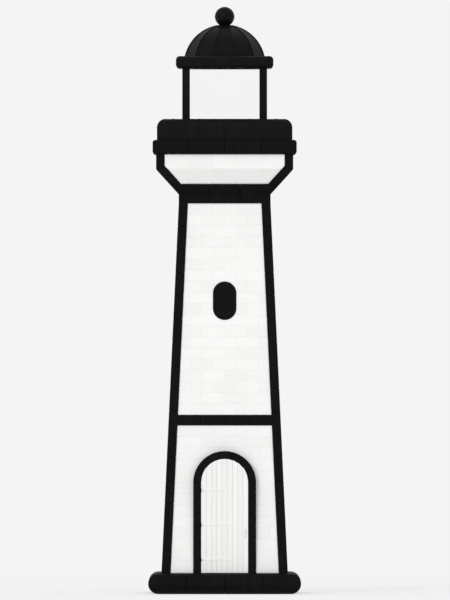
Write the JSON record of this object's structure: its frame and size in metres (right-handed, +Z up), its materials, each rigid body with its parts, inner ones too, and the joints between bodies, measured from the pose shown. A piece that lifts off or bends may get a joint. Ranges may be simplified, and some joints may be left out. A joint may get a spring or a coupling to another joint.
{
  "type": "lighthouse",
  "caption": "Square white lighthouse with black corner pilasters, an arched door, a corbelled gallery with a solid parapet, and a glazed lantern under a ball-topped dome.",
  "frame": {"origin": "middle of the plinth's underside, at ground level", "axes": "+Z up, the door faces -Y, +X to the right of someone who faces the door"},
  "size_m": [4.16, 4.1599, 16],
  "materials": {
    "white_stone": "matte",
    "black_stone": "satin",
    "bare_stone": "matte",
    "black_iron": "satin",
    "white_iron": "satin",
    "white_wood": "satin",
    "window_glass": "gloss",
    "lantern_glass": "gloss"
  },
  "bodies": {
    "tower": {"plinth": "black_stone", "front_wall_left": "white_stone", "front_wall_right": "white_stone", "front_wall_over_door": "white_stone", "left_wall_lower": "white_stone", "right_wall_lower": "white_stone", "back_wall_lower": "white_stone", "belt_course": "black_stone", "upper_floor": "bare_stone", "front_wall_upper": "white_stone", "left_wall_upper": "white_stone", "right_wall_upper": "white_stone", "back_wall_upper": "white_stone", "corner_pilaster_front_left": "black_stone", "corner_pilaster_front_right": "black_stone", "corner_pilaster_back_left": "black_stone", "corner_pilaster_back_right": "black_stone", "window_frames": "black_iron", "window_glass": "window_glass", "door_jamb_left": "black_stone", "door_jamb_right": "black_stone", "door_arch": "black_stone", "door_pintles": "black_iron", "neck_band": "black_stone", "knee_brackets": "black_stone", "corbel_front": "white_stone", "corbel_left": "white_stone", "corbel_right": "white_stone", "corbel_back": "white_stone", "gallery_edge": "black_stone", "gallery_deck": "bare_stone", "parapet_front": "black_iron", "parapet_left": "black_iron", "parapet_right": "black_iron", "parapet_back": "black_iron", "lantern_posts": "black_iron", "lantern_sill_walls": "black_iron", "lantern_glass": "lantern_glass", "lantern_cornice": "black_iron", "dome": "black_iron", "finial": "black_iron"},
    "door": {"door_leaf": "white_wood", "door_ledges": "white_wood", "door_straps": "white_iron", "door_handle": "white_iron"}
  },
  "joints": [
    {"name": "door_hinge", "type": "hinge", "parent": "tower", "child": "door", "pos_m": [-0.655, -1.77, 0.57], "axis": [0, 0, -1], "range_deg": [0, 105]}
  ]
}
